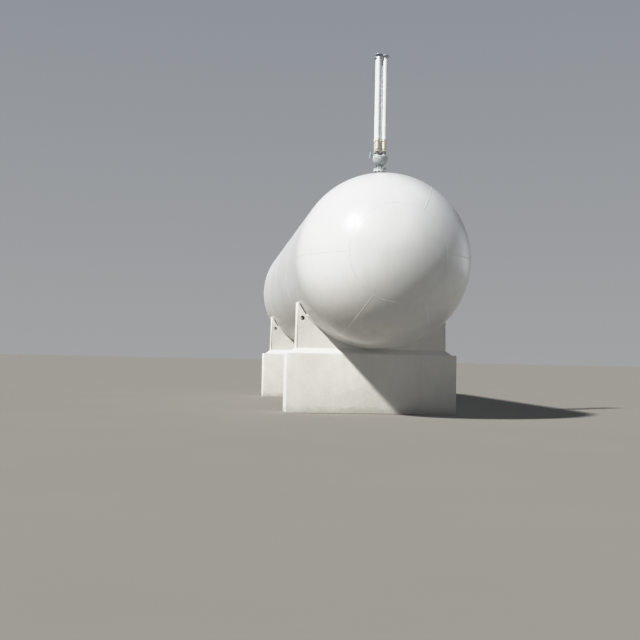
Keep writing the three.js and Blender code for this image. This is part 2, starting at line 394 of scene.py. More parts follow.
def bead_tree():
    """A weld bead: an uneven half round laid along lines, facing their outward direction."""
    sizes = dict.fromkeys(BEAD_INPUTS, "Float")
    tree, given = node_tree("weld_bead", {**sizes, "Finish": "Material"})
    line = add_node(tree, "GeometryNodeMeshToCurve", {"Mesh": given["Geometry"]})
    sockets = {"Name": "outward"}
    outward = add_node(tree, "GeometryNodeInputNamedAttribute", sockets, data_type="FLOAT_VECTOR")
    sockets = {"Curve": line[0], "Normal": outward[0]}
    facing = add_node(tree, "GeometryNodeSetCurveNormal", sockets, mode="FREE")
    distance = add_node(tree, "GeometryNodeSplineParameter")["Length"]
    sockets = {"Geometry": facing[0], "Name": "along_bead", "Value": distance}
    measured = add_node(tree, "GeometryNodeStoreNamedAttribute", sockets)
    half_width = math_node(tree, "MULTIPLY", given["Width"], 0.5)
    size = add_node(tree, "ShaderNodeCombineXYZ", {"X": given["Height"], "Y": half_width, "Z": 1.0})
    sockets = {"Resolution": BEAD_SIDES, "Radius": 1.0}
    circle = add_node(tree, "GeometryNodeCurvePrimitiveCircle", sockets)
    section = add_node(tree, "GeometryNodeTransform", {"Geometry": circle[0], "Scale": size[0]})
    sockets = {"W": given["Seed"], "Scale": BEAD_SWELLS, "Detail": 3.0}
    grain = add_node(tree, "ShaderNodeTexNoise", sockets, noise_dimensions="4D")
    centred = math_node(tree, "SUBTRACT", grain[0], 0.5)
    swell = math_node(tree, "MULTIPLY_ADD", centred, given["Unevenness"], 1.0)
    sockets = {"Curve": measured[0], "Profile Curve": section[0], "Scale": swell, "Fill Caps": True}
    bead = add_node(tree, "GeometryNodeCurveToMesh", sockets)
    smooth = add_node(tree, "GeometryNodeSetShadeSmooth", {"Geometry": bead[0]})
    return end_tree(tree, smooth[0], given["Finish"])


def ring_tree():
    """Copies of one fastener round a circle, each turned a little its own way."""
    inputs = {"Count": "Int", "Circle radius": "Float", "Loose turn": "Float", "Seed": "Int"}
    tree, given = node_tree("ring_of_copies", {**inputs, "Finish": "Material"})
    sockets = {"Vertices": given["Count"], "Radius": given["Circle radius"]}
    circle = add_node(tree, "GeometryNodeMeshCircle", sockets)
    position = add_node(tree, "GeometryNodeInputPosition")
    sockets = {"Vector": position[0]}
    outwards = add_node(tree, "FunctionNodeAlignRotationToVector", sockets, axis="X")
    loose = add_node(tree, "FunctionNodeRandomValue", {"Seed": given["Seed"]})
    turn = math_node(tree, "MULTIPLY", loose[1], given["Loose turn"])
    own_turn = add_node(tree, "ShaderNodeCombineXYZ", {"Z": turn})
    sockets = {"Rotation": outwards[0], "Rotate By": own_turn[0]}
    facing = add_node(tree, "FunctionNodeRotateRotation", sockets, rotation_space="LOCAL")
    sockets = {"Points": circle[0], "Instance": given["Geometry"], "Rotation": facing[0]}
    copies = add_node(tree, "GeometryNodeInstanceOnPoints", sockets)
    return end_tree(tree, copies[0], given["Finish"])


def grown(mesh, tree, name, values):
    """Runs a tree over a mesh and keeps the result as a plain piece."""
    piece = placed(mesh, name)
    modifier = piece.modifiers.new(tree.name, "NODES")
    modifier.node_group = tree
    for item in tree.interface.items_tree:
        if item.in_out == "INPUT" and item.name in values:
            modifier[item.identifier] = values[item.name]
    return settled_piece(piece)


def lay_beads(name, slot, lines, sizes):
    """Weld beads along lines, as one piece of their own."""
    values = {**dict(zip(BEAD_INPUTS, sizes)), "Finish": BEAD}
    fit(grown(line_mesh(name, lines), BEAD_TREE, name, values), slot)


def copied_round(name, shape, finish, count, radius, loose_turn=0.0, seed=1):
    """A shape's copies round a circle, as one plain piece."""
    values = {"Count": count, "Circle radius": radius, "Loose turn": loose_turn}
    values |= {"Seed": seed, "Finish": finish}
    return grown(shape.mesh(name, [finish]), RING_TREE, name, values)


def modify(piece, kind, **settings):
    modifier = piece.modifiers.new(kind.lower(), kind)
    for name, value in settings.items():
        setattr(modifier, name, value)


def settled_piece(piece):
    """Keeps what a piece's modifiers make, and drops the modifiers."""
    depsgraph = bpy.context.evaluated_depsgraph_get()
    mesh = bpy.data.meshes.new_from_object(piece.evaluated_get(depsgraph), depsgraph=depsgraph)
    piece.modifiers.clear()
    piece.data = mesh
    return piece


def line_mesh(name, lines):
    """Lines for weld beads. Each is (points, outward directions, closed)."""
    vertices = []
    edges = []
    outward = []
    for points, directions, closed in lines:
        start = len(vertices)
        vertices += points
        outward += directions
        edges += [(start + index, start + index + 1) for index in range(len(points) - 1)]
        if closed:
            edges.append((start + len(points) - 1, start))
    mesh = bpy.data.meshes.new(name)
    mesh.from_pydata(vertices, edges, [])
    attribute = mesh.attributes.new("outward", "FLOAT_VECTOR", "POINT")
    attribute.data.foreach_set("vector", [value for direction in outward for value in direction])
    return mesh


# Finishes


class Finish:
    """A painted, cast or mineral surface. Its patterns follow the piece's own coordinates."""

    def __init__(self, name):
        self.material = bpy.data.materials.new(name)
        self.material.use_nodes = True
        self.tree = self.material.node_tree
        self.surface = self.tree.nodes["Principled BSDF"]
        self.place = self.node("ShaderNodeTexCoord")["Object"]

    def node(self, kind, sockets=None, **settings):
        return add_node(self.tree, kind, sockets, **settings)

    def grain(self, scale, detail=3.0, roughness=0.5, stretch=None):
        where = self.place
        if stretch:
            where = self.node("ShaderNodeMapping", {"Vector": where, "Scale": stretch})[0]
        sockets = {"Vector": where, "Scale": scale, "Detail": detail, "Roughness": roughness}
        return self.node("ShaderNodeTexNoise", sockets)[0]

    def cells(self, scale):
        return self.node("ShaderNodeTexVoronoi", {"Vector": self.place, "Scale": scale})

    def remap(self, *values, smooth=False):
        return remapped(self.tree, *values, smooth=smooth)

    def times(self, first, second):
        return math_node(self.tree, "MULTIPLY", first, second)

    def plus(self, first, second):
        return math_node(self.tree, "ADD", first, second)

    def attribute(self, name):
        return self.node("ShaderNodeAttribute", attribute_name=name)["Fac"]

    def upright_part(self, direction):
        return self.node("ShaderNodeSeparateXYZ", {0: direction})["Z"]

    def facing_up(self):
        """How far the surface faces up, from -1 to 1."""
        return self.upright_part(self.node("ShaderNodeNewGeometry")["Normal"])

    def blend(self, share, first, second):
        """Two colours mixed. A share of 0 gives the first."""
        sockets = {0: share}
        for index, colour in ((6, first), (7, second)):
            sockets[index] = (*colour, 1.0) if isinstance(colour, tuple) else colour
        return self.node("ShaderNodeMix", sockets, data_type="RGBA")[2]

    def mottled(self, pattern, low, high, first, second, most=1.0, smooth=False):
        """The first colour, with up to most of the second as the pattern goes from low to high."""
        return self.blend(self.remap(pattern, low, high, 0.0, most, smooth=smooth), first, second)

    def relief(self, height, depth, strength=1.0, under=None):
        sockets = {"Height": height, "Distance": depth, "Strength": strength}
        if under is not None:
            sockets["Normal"] = under
        return self.node("ShaderNodeBump", sockets)[0]

    def done(self, colour, roughness, normal=None, **steady):
        """Links the worked-out values, and sets the steady ones on the shader itself."""
        for name, value in (("Base Color", colour), ("Roughness", roughness), ("Normal", normal)):
            if isinstance(value, bpy.types.NodeSocket):
                self.tree.links.new(value, self.surface.inputs[name])
            elif value is not None:
                self.surface.inputs[name].default_value = value
        for name, value in steady.items():
            self.surface.inputs[name.replace("_", " ")].default_value = value
        return self.material


def vessel_enamel():
    """Glossy white enamel on plate: chalking, rain marks, darker patches beside the welds, and dust
    and painted ground reflection below.
    """
    finish = Finish("vessel_enamel")
    cloud = finish.grain(0.9, detail=4.0)
    white = finish.mottled(cloud, 0.35, 0.65, (0.80, 0.81, 0.81), (0.74, 0.755, 0.76))
    rain = finish.grain(1.0, detail=3.0, stretch=(5.0, 5.0, 0.35))
    marked = finish.mottled(rain, 0.48, 0.74, white, (0.62, 0.62, 0.59), 0.13, smooth=True)
    # Downward faces turn warm and darker: partly dust, partly painted reflection of the ground
    below = finish.remap(finish.facing_up(), -0.15, -1.0, 0.0, 0.30, smooth=True)
    patchy = finish.remap(finish.grain(3.0, detail=5.0, roughness=0.65), 0.30, 0.70)
    dust_and_ground_reflection = finish.blend(finish.times(below, finish.plus(patchy, 0.5)), marked, (0.46, 0.42, 0.36))
    beside = finish.remap(finish.attribute("seam_distance"), 0.010, 0.034, 0.09, 0.0)
    at_welds = finish.times(beside, finish.plus(patchy, 0.35))
    colour = finish.blend(at_welds, dust_and_ground_reflection, (0.36, 0.35, 0.33))
    peel = finish.relief(finish.grain(260.0, detail=2.0), 0.0002, 0.12)
    normal = finish.relief(finish.grain(2.2, detail=2.0), 0.004, 0.35, under=peel)
    return finish.done(colour, 0.285, normal, Coat_Weight=0.2, Coat_Roughness=0.22)


def bead_enamel():
    """The same enamel over a rippled weld, where it catches more dust."""
    finish = Finish("bead_enamel")
    patchy = finish.grain(14.0, detail=4.0, roughness=0.6)
    colour = finish.mottled(patchy, 0.45, 0.8, (0.80, 0.81, 0.81), (0.62, 0.62, 0.60), 0.35)
    phase = finish.times(finish.attribute("along_bead"), BEAD_RIPPLES)
    normal = finish.relief(math_node(finish.tree, "SINE", phase), 0.0005, 0.4)
    return finish.done(colour, 0.34, normal, Coat_Weight=0.3, Coat_Roughness=0.15)


def concrete_paint():
    """Painted, trowelled concrete: fine grain, blow holes, soft stains and a dirty foot."""
    finish = Finish("concrete_paint")
    broad = finish.grain(1.6, detail=5.0, roughness=0.6)
    fine = finish.grain(30.0, detail=6.0, roughness=0.7)
    pale = finish.mottled(broad, 0.32, 0.68, (0.82, 0.82, 0.79), (0.74, 0.74, 0.71))
    grained = finish.mottled(fine, 0.42, 0.66, pale, (0.52, 0.51, 0.49), 0.16)
    runs = finish.grain(1.0, detail=5.0, roughness=0.65, stretch=(10.0, 10.0, 0.55))
    stained = finish.mottled(runs, 0.54, 0.74, grained, (0.52, 0.51, 0.48), 0.14, smooth=True)
    height = finish.upright_part(finish.place)
    ragged = finish.plus(height, finish.times(finish.grain(5.0, detail=5.0), -0.22))
    foot = finish.remap(ragged, -0.09, 0.06, 0.32, 0.0, smooth=True)
    colour = finish.blend(foot, stained, (0.38, 0.36, 0.32))
    roughness = finish.remap(fine, 0.3, 0.7, 0.78, 0.92)
    holes = finish.remap(finish.cells(26.0)["Distance"], 0.0, 0.09, 1.0, 0.0)
    float_marks = finish.relief(finish.grain(7.0, detail=6.0, roughness=0.62), 0.010, 0.55)
    rough = finish.relief(fine, 0.0035, 0.7, under=float_marks)
    return finish.done(colour, roughness, finish.relief(holes, -0.004, 0.8, under=rough))


def pad_enamel():
    """Thinner paint on the wear plates, with rust showing through in patches."""
    finish = Finish("pad_enamel")
    patchy = finish.grain(5.0, detail=6.0, roughness=0.7)
    pale = finish.mottled(patchy, 0.35, 0.65, (0.70, 0.70, 0.68), (0.60, 0.59, 0.56))
    rust = finish.remap(finish.grain(16.0, detail=6.0, roughness=0.72), 0.60, 0.68, smooth=True)
    colour = finish.blend(finish.times(rust, 0.55), pale, (0.24, 0.13, 0.07))
    roughness = finish.remap(rust, 0.0, 1.0, 0.42, 0.85)
    return finish.done(colour, roughness, finish.relief(patchy, 0.002, 0.4))


def cast_enamel(name, colour_high, colour_low, roughness_low=0.38):
    """Enamel over a sand casting, worn to bare grey in patches."""
    finish = Finish(name)
    sand = finish.grain(150.0, detail=4.0, roughness=0.6)
    broad = finish.grain(12.0, detail=4.0)
    paint = finish.mottled(broad, 0.35, 0.65, colour_high, colour_low)
    worn = finish.grain(40.0, detail=5.0, roughness=0.7)
    colour = finish.mottled(worn, 0.62, 0.70, paint, (0.30, 0.28, 0.25), 0.5, smooth=True)
    roughness = finish.remap(sand, 0.3, 0.7, roughness_low, roughness_low + 0.2)
    normal = finish.relief(sand, 0.0015, 0.7, under=finish.relief(broad, 0.003, 0.3))
    return finish.done(colour, roughness, normal)


def valve_brass():
    """Turned brass gone dull outdoors, with grey bloom."""
    finish = Finish("valve_brass")
    bloom = finish.grain(22.0, detail=5.0, roughness=0.65)
    tool = finish.grain(1.0, detail=2.0, stretch=(20.0, 20.0, 900.0))
    brass = finish.mottled(bloom, 0.4, 0.62, (0.76, 0.73, 0.66), (0.62, 0.585, 0.52))
    colour = finish.mottled(bloom, 0.58, 0.75, brass, (0.66, 0.67, 0.63), 0.6)
    roughness = finish.remap(bloom, 0.3, 0.7, 0.42, 0.60)
    return finish.done(colour, roughness, finish.relief(tool, 0.0004, 0.35), Metallic=0.35)


def thread_steel():
    """Grey steel of a threaded joint, with sealing compound left in it."""
    finish = Finish("thread_steel")
    patchy = finish.grain(60.0, detail=4.0, roughness=0.6)
    colour = finish.mottled(patchy, 0.40, 0.62, (0.26, 0.255, 0.25), (0.38, 0.37, 0.35))
    roughness = finish.remap(patchy, 0.3, 0.7, 0.42, 0.62)
    return finish.done(colour, roughness, finish.relief(patchy, 0.0006, 0.5), Metallic=0.4)


def stack_enamel():
    """Bright white enamel on pipe, with faint run marks down it."""
    finish = Finish("stack_enamel")
    runs = finish.grain(1.0, detail=4.0, roughness=0.6, stretch=(45.0, 45.0, 1.6))
    broad = finish.grain(4.0, detail=3.0)
    white = finish.mottled(broad, 0.35, 0.65, (0.83, 0.85, 0.87), (0.76, 0.78, 0.80))
    colour = finish.mottled(runs, 0.55, 0.75, white, (0.55, 0.54, 0.50), 0.18, smooth=True)
    normal = finish.relief(finish.grain(300.0, detail=2.0), 0.0002, 0.12)
    return finish.done(colour, 0.26, normal, Coat_Weight=0.3, Coat_Roughness=0.1)


def galvanised(name, light, dark, roughness_low=0.34):
    """Zinc with its crystals just showing and a dull bloom."""
    finish = Finish(name)
    crystals = finish.node("ShaderNodeSeparateColor", {0: finish.cells(90.0)["Color"]})[0]
    bloom = finish.grain(9.0, detail=5.0, roughness=0.6)
    zinc = finish.mottled(crystals, 0.0, 1.0, light, dark, 0.6)
    colour = finish.mottled(bloom, 0.52, 0.72, zinc, (0.40, 0.40, 0.38), 0.5)
    roughness = finish.remap(crystals, 0.0, 1.0, roughness_low, roughness_low + 0.2)
    return finish.done(colour, roughness, finish.relief(bloom, 0.0008, 0.3), Metallic=0.55)


def gasket_fibre():
    finish = Finish("gasket_fibre")
    fibre = finish.grain(400.0, detail=3.0)
    colour = finish.mottled(fibre, 0.3, 0.7, (0.05, 0.05, 0.055), (0.10, 0.095, 0.09))
    return finish.done(colour, 0.8, finish.relief(fibre, 0.0005, 0.5))


def floor_finish():
    finish = Finish("studio_floor")
    cloud = finish.grain(0.4, detail=3.0)
    colour = finish.blend(cloud, (0.337, 0.325, 0.300), (0.358, 0.345, 0.319))
    return finish.done(colour, 0.9, Specular_IOR_Level=0.0)


ENAMEL = vessel_enamel()
BEAD = bead_enamel()
CONCRETE = concrete_paint()
PAD = pad_enamel()
CAST = cast_enamel("cast_enamel", (0.54, 0.58, 0.585), (0.43, 0.47, 0.475))
WHEEL = cast_enamel("wheel_enamel", (0.50, 0.56, 0.61), (0.42, 0.48, 0.54), 0.42)
BRASS = valve_brass()
THREAD = thread_steel()
STACK = stack_enamel()
CAP_ZINC = galvanised("cap_zinc", (0.66, 0.71, 0.78), (0.54, 0.59, 0.66))
FASTENER = galvanised("fastener_zinc", (0.50, 0.51, 0.52), (0.32, 0.33, 0.34), 0.30)
GASKET = gasket_fibre()
BEAD_TREE = bead_tree()
RING_TREE = ring_tree()


# Vessel


def shell_point(radius, turn, y):
    """A point about the vessel's axis: turn 0 is at +X, and the crown is a quarter turn on."""
    x, rise = round_point(radius, turn)
    return Vector((x, y, AXIS_Z + rise))


def axis_point(point):
    """The point on the axis that a plate is struck from: a head's centre, or beside the point."""
    return Vector((0.0, min(max(point.y, FRONT_SEAM), REAR_SEAM), AXIS_Z))


def round_gap(turn, target):
    return abs((turn - target + math.pi) % FULL_TURN - math.pi)


def seam_distance(point):
    """How far along the plate the nearest weld lies."""
    centre = axis_point(point)
    out = point - centre
    turn = math.atan2(out.z, out.x)
    if FRONT_SEAM < point.y < REAR_SEAM:
        course = (point.y - FRONT_SEAM) / COURSE_LENGTH
        girth = abs(course - round(course)) * COURSE_LENGTH
        long_seam = math.radians(LONG_SEAM_DEGREES[int(course)])
        return min(girth, round_gap(turn, long_seam) * RADIUS)
    away = math.asin(min(1.0, math.hypot(out.x, out.z) / out.length))
    ring = min(abs(away - CAP_ANGLE), QUARTER_TURN - away) * RADIUS
    if away < CAP_ANGLE:
        return abs(away - CAP_ANGLE) * RADIUS
    meridian = abs(turn / PETAL_SPAN - round(turn / PETAL_SPAN)) * PETAL_SPAN
    return min(ring, meridian * RADIUS * math.sin(away))


def drawn(point):
    """Where a point of the ideal vessel lies once welding has drawn the plates in a little."""
    out = (point - axis_point(point)).normalized()
    sink = WELD_SINK * math.exp(-((seam_distance(point) / WELD_SINK_REACH) ** 2))
    wave = PLATE_WAVE * (1.0 - noise.noise(point / PLATE_WAVE_LENGTH)) / 2
    return point - out * (sink + wave)


def close_to_ends(steps):
    """Steps from 0 to 1 that lie closer together at both ends."""
    return [0.5 - 0.5 * math.cos(math.pi * step / steps) for step in range(steps + 1)]


def plate(name, node, place, across, along, wraps=False):
    """A closed plate from place(u, v, inside), over its two sets of steps."""
    columns = len(across)
    last_row = (len(along) - 1) * columns
    layer = last_row + columns
    vertices = [place(u, v, inside) for inside in (0, 1) for v in along for u in across]
    spans = [(left, (left + 1) % columns) for left in range(columns if wraps else columns - 1)]
    faces = []
    for row in range(0, last_row, columns):
        for left, right in spans:
            outer = [row + left, row + right, row + columns + right, row + columns + left]
            faces.append(outer)
            faces.append([layer + index for index in reversed(outer)])
    rims = [(right, left) for left, right in spans]
    rims += [(last_row + left, last_row + right) for left, right in spans]
    if not wraps:
        for row in range(0, last_row, columns):
            rims += [(row, row + columns), (row + 2 * columns - 1, row + columns - 1)]
    faces += [[first, second, layer + second, layer + first] for first, second in rims]
    return plate_piece(name, node, (vertices, faces))


def plate_piece(name, node, solid):
    """Draws a plate's points in at the welds, and notes how far each lies from one."""
    vertices, faces = solid
    shape = Shape()
    shape.add(([drawn(vertex) for vertex in vertices], faces))
    mesh = shape.mesh(name, [ENAMEL], SHARP_ON_PLATE)
    distances = mesh.attributes.new("seam_distance", "FLOAT", "POINT")
    distances.data.foreach_set("value", [seam_distance(vertex.co) for vertex in mesh.vertices])
    fit(placed(mesh, name), "vessel_paint", node)


def head_place(end, turn, away, radius):
    """A point on the front head (end -1) or the rear head (end 1), the front one turned about."""
    ring = radius * math.sin(away)
    seam = FRONT_SEAM if end < 0 else REAR_SEAM
    y = seam + end * radius * math.cos(away)
    return Vector((-end * ring * math.cos(turn), y, AXIS_Z + ring * math.sin(turn)))


def petal_place(end, turn, share, radius):
    """A point on a petal, a share of the way from the polar cap to the cylinder."""
    return head_place(end, turn, CAP_ANGLE + (QUARTER_TURN - CAP_ANGLE) * share, radius)


def make_petal(prefix, end, index):
    def place(u, v, inside):
        return petal_place(end, PETAL_SPAN * (index + u), v, RADIUS - HEAD_PLATE * inside)

    node = f"{prefix}_head_petal_{index + 1}"
    plate(f"{node}_plate", node, place, *map(close_to_ends, PETAL_STEPS))


def make_cap(prefix, end):
    """The dished plate at the pole, turned from its two faces."""
    seam = FRONT_SEAM if end < 0 else REAR_SEAM
    steps_out, steps_round = CAP_STEPS
    aways = [CAP_ANGLE * math.sin(QUARTER_TURN * share) for share in shares(steps_out)]
    outer, inner = (
        [(radius * math.sin(away), radius * math.cos(away)) for away in aways]
        for radius in (RADIUS, RADIUS - HEAD_PLATE)
    )
    place = Matrix.Translation((0.0, seam, AXIS_Z)) @ Matrix.Rotation(-end * QUARTER_TURN, 4, "X")
    vertices, faces = turned([*outer, *reversed(inner)], steps_round)
    node = f"{prefix}_head_polar_cap"
    plate_piece(f"{node}_plate", node, ([place @ vertex for vertex in vertices], faces))


def make_course(index):
    seam = LONG_SEAM_DEGREES[index]
    even = {COURSE_STEP_DEGREES * step for step in range(round(360 / COURSE_STEP_DEGREES))}
    beside_seam = {seam + side * gap for side in (-1, 1) for gap in BESIDE_SEAM_DEGREES}
    start = FRONT_SEAM + index * COURSE_LENGTH

    def place(u, v, inside):
        y = start + COURSE_LENGTH * v
        return shell_point(RADIUS - SHELL_PLATE * inside, math.radians(u), y)

    node = f"shell_course_{index + 1}"
    along = close_to_ends(COURSE_STEPS_ALONG)
    plate(f"{node}_plate", node, place, sorted(even | beside_seam), along, wraps=True)


def facing_out(points, closed=True):
    """A line on the vessel, with the directions that face away from its axis."""
    return points, [(point - axis_point(point)).normalized() for point in points], closed


def seam_line(points, closed=True):
    return facing_out([drawn(point) for point in points], closed)


def vessel_seams():
    """The welds between courses, along each course, round each polar cap and between the petals."""
    lines = []
    around = round(FULL_TURN * RADIUS / BEAD_STEP)
    for seam in range(len(LONG_SEAM_DEGREES) + 1):
        y = FRONT_SEAM + seam * COURSE_LENGTH
        lines.append(seam_line([shell_point(RADIUS, turn, y) for turn in turns(around)]))
    course_shares = shares(round(COURSE_LENGTH / BEAD_STEP))
    for index, degrees in enumerate(LONG_SEAM_DEGREES):
        foot = shell_point(RADIUS, math.radians(degrees), FRONT_SEAM + index * COURSE_LENGTH)
        points = [foot + Vector((0.0, COURSE_LENGTH * share, 0.0)) for share in course_shares]
        lines.append(seam_line(points, closed=False))
    petal_shares = shares(round((QUARTER_TURN - CAP_ANGLE) * RADIUS / BEAD_STEP))
    for end in (-1, 1):
        cap_turns = turns(round(around * math.sin(CAP_ANGLE)))
        lines.append(seam_line([head_place(end, turn, CAP_ANGLE, RADIUS) for turn in cap_turns]))
        for petal in range(PETAL_COUNT):
            points = [petal_place(end, petal * PETAL_SPAN, share, RADIUS) for share in petal_shares]
            lines.append(seam_line(points, closed=False))
    return lines


def make_vessel():
    for prefix, end in (("front", -1), ("rear", 1)):
        make_cap(prefix, end)
        for index in range(PETAL_COUNT):
            make_petal(prefix, end, index)
    for index in range(len(LONG_SEAM_DEGREES)):
        make_course(index)
    lay_beads("vessel_weld_beads", "vessel_paint", vessel_seams(), VESSEL_BEAD)


# Saddles


def saddle_solid(node):
    """The concrete block as one closed skin: footing, sloped shoulder, wall and trough."""
    low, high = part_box(node)
    half = (high.x - low.x) / 2
    depth = (high.y - low.y) / 2
    y = (high.y + low.y) / 2
    shoulder_top = FOOTING_HEIGHT + SHOULDER_HEIGHT
    wall = WALL_WIDTH / 2
    trough = RADIUS + TROUGH_CLEARANCE
    start = math.asin((AXIS_Z - high.z) / trough)
    angles = [math.pi + start + (math.pi - 2 * start) * share for share in shares(TROUGH_STEPS)]
    arc = [(trough * math.cos(angle), AXIS_Z + trough * math.sin(angle)) for angle in angles]
    outline = [(-wall, shoulder_top), (-wall, high.z), *arc, (wall, high.z), (wall, shoulder_top)]
    vertices = []

    def corners(points):
        first = len(vertices)
        vertices.extend(Vector((x, y + across, z)) for x, across, z in points)
        return list(range(first, len(vertices)))

    front, back = (corners([(x, side * WALL_DEPTH / 2, z) for x, z in outline]) for side in (-1, 1))
    boxes = ((half - SHOULDER_LEDGE, FOOTING_HEIGHT), (half, FOOTING_HEIGHT), (half, 0.0))
    slope, ledge, ground = (corners([(*xy, z) for xy in box_corners(x, depth)]) for x, z in boxes)
    top = [front[0], front[-1], back[-1], back[0]]
    faces = [front, back[::-1]]
    faces += [[front[i], back[i], back[i + 1], front[i + 1]] for i in range(len(outline) - 1)]
    faces += [[slope[i], slope[(i + 1) % 4], top[(i + 1) % 4], top[i]] for i in range(4)]
    faces += [
        [ledge[0], slope[0], slope[3], ledge[3]],
        [slope[1], ledge[1], ledge[2], slope[2]],
        [ground[0], ground[1], ledge[1], slope[1], slope[0], ledge[0]],
        [ground[1], ground[2], ledge[2], ledge[1]],
        [ground[2], ground[3], ledge[3], slope[3], slope[2], ledge[2]],
        [ground[3], ground[0], ledge[0], ledge[3]],
        ground[::-1],
    ]
    return vertices, faces


def make_saddle(prefix):
    node = f"{prefix}_saddle"
    name = f"{node}_concrete"
    shape = Shape()
    shape.add(saddle_solid(node))
    block = shape.piece(name, [CONCRETE])
    drills = Shape()
    drill = turned(rod(HORN_HOLE_RADIUS, -WALL_DEPTH, WALL_DEPTH), HORN_HOLE_SEGMENTS)
    for side in (-1, 1):
        at_hole = Matrix.Translation((side * HORN_HOLE_X, middle(node).y, HORN_HOLE_Z))
        drills.add(drill, at_hole @ Matrix.Rotation(QUARTER_TURN, 4, "X"))
    cutter = drills.piece(f"{name}_drill", [CONCRETE])
    modify(block, "BOOLEAN", operation="DIFFERENCE", solver="EXACT", object=cutter)
    modify(block, "BEVEL", width=ARRIS, segments=3, limit_method="ANGLE", angle_limit=ARRIS_ANGLE)
    settled_piece(block)
    bpy.data.objects.remove(cutter)
    shade(block.data, SHARP_ON_SADDLE)
    fit(block, "concrete_paint", node)


def rounded_rectangle(half_width, half_height, corner, steps=6):
    """Points round a rectangle with round corners, from its right side, anticlockwise."""
    points = []
    for quarter, (x_side, y_side) in enumerate(((1, 1), (-1, 1), (-1, -1), (1, -1))):
        centre = (x_side * (half_width - corner), y_side * (half_height - corner))
        for share in shares(steps):
            x, y = round_point(corner, (quarter + share) * QUARTER_TURN)
            points.append((centre[0] + x, centre[1] + y))
    return points


def wrapped(run, y, height):
    """A flat point laid on the vessel's underside: run goes round it from the lowest line."""
    radius = RADIUS + height
    angle = run / RADIUS
    return Vector((radius * math.sin(angle), y, AXIS_Z - radius * math.cos(angle)))


def make_wear_plate(prefix):
    """The curved plate between shell and concrete. Gives the line of its weld to the shell."""
    node = f"{prefix}_wear_plate"
    low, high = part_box(node)
    y = (low.y + high.y) / 2
    half_run = WEAR_PLATE_HALF_ANGLE * RADIUS
    outline = rounded_rectangle(half_run, (high.y - low.y) / 2, WEAR_PLATE_CORNER)
    vertices, faces = prism(outline, FIT_GAP, FIT_GAP + WEAR_PLATE_THICKNESS)
    flat = bmesh.new()
    corners = [flat.verts.new(vertex) for vertex in vertices]
    for face in faces:
        flat.faces.new([corners[index] for index in face])
    for cut in range(1, WEAR_PLATE_CUTS):
        run = half_run * (2 * cut / WEAR_PLATE_CUTS - 1)
        geometry = flat.verts[:] + flat.edges[:] + flat.faces[:]
        bmesh.ops.bisect_plane(flat, geom=geometry, plane_co=(run, 0, 0), plane_no=(1, 0, 0))
    for vertex in flat.verts:
        vertex.co = wrapped(vertex.co.x, y + vertex.co.y, vertex.co.z)
    if flat.calc_volume(signed=True) < 0:
        bmesh.ops.reverse_faces(flat, faces=flat.faces)
    mesh = bpy.data.meshes.new(f"{node}_steel")
    flat.to_mesh(mesh)
    flat.free()
    mesh.materials.append(PAD)
    shade(mesh, SHARP_ON_SADDLE)
    fit(placed(mesh, f"{node}_steel"), "pad_paint", node)
    points = []
    for (run, across), (next_run, next_across) in zip(outline, outline[1:] + outline[:1]):
        pieces = max(1, round(math.hypot(next_run - run, next_across - across) / BEAD_STEP))
        for share in shares(pieces)[:-1]:
            here = run + (next_run - run) * share
            points.append(wrapped(here, y + across + (next_across - across) * share, FIT_GAP))
    return facing_out(points)


def make_saddles():
    lines = []
    for prefix in ("front", "rear"):
        make_saddle(prefix)
        lines.append(make_wear_plate(prefix))
    lay_beads("wear_plate_welds", "pad_paint", lines, WEAR_PLATE_BEAD)


# Relief cluster on the crown. Heights are over the crown line, and profiles (radius, height) points

# Segments round its turned pieces. A body is a valve's, a pipe's, a cap's or the wheel rim's
ROUND_PAD, ROUND_FLANGE, ROUND_NECK, ROUND_BODY = 120, 96, 72, 64
ROUND_PORT, ROUND_BONNET, ROUND_BOSS, ROUND_STEM, ROUND_BOLT = 48, 40, 32, 24, 20

# Nozzle
PAD_THICKNESS = 0.012
PAD_WELD_HEIGHT = 0.004
PAD_WELD_POINTS = 64
NECK_WELD_POINTS = 40
NECK_RADIUS = 0.084
NECK_BORE = 0.073
NECK_FOOT = 0.002
NECK_TOP = 0.150
FLANGE_RADIUS = 0.140
FLANGE_THICKNESS = 0.032
FLANGE_TOP = NECK_TOP + FLANGE_THICKNESS
RAISED_FACE = 0.0025
RAISED_FACE_RADIUS = 0.094
GASKET_INSIDE = 0.004
GASKET_OUTSIDE = 0.006
SMALL_EASE = 0.003
FINE_EASE = 0.0015

# Flange bolts
BOLT_CIRCLE = 0.117
BOLT_COUNT = 8
BOLT_RADIUS = 0.0095
BOLT_REACH = 0.012
NUT_ACROSS = 0.034
NUT_HEIGHT = 0.018
NUT_CHAMFER = 0.003
NUT_LOOSE_TURN = math.pi / 3

# Manifold: the flare and the lip are steps out and up from the neck's top and the rim
CAST_VOXEL = 0.0042
BOWL_NECK = 0.058
NECK_FLARE = ((0.014, 0.004), (0.0, 0.022))
BOWL_RADIUS = 0.172
BOWL_BOTTOM = 0.300
BOWL_RIM = 0.462
BOWL_LIP = ((0.0, 0.006), (-0.014, 0.022))
BOWL_TOP = 0.502
BOWL_TOP_RADIUS = 0.06
BOWL_STEPS = 12
PORT_RADIUS = 0.050
PORT_TOP = 0.518
BONNET_RADIUS = 0.033
BONNET_TOP = 0.560
BONNET_EASE = 0.006
RIB_COUNT = 4
RIB_LENGTH = 0.200
RIB_THICKNESS = 0.014
RIB_SHIFT = 0.035
RIB_FOOT_SHARE = 0.35
RIB_CLEARANCE = 0.030

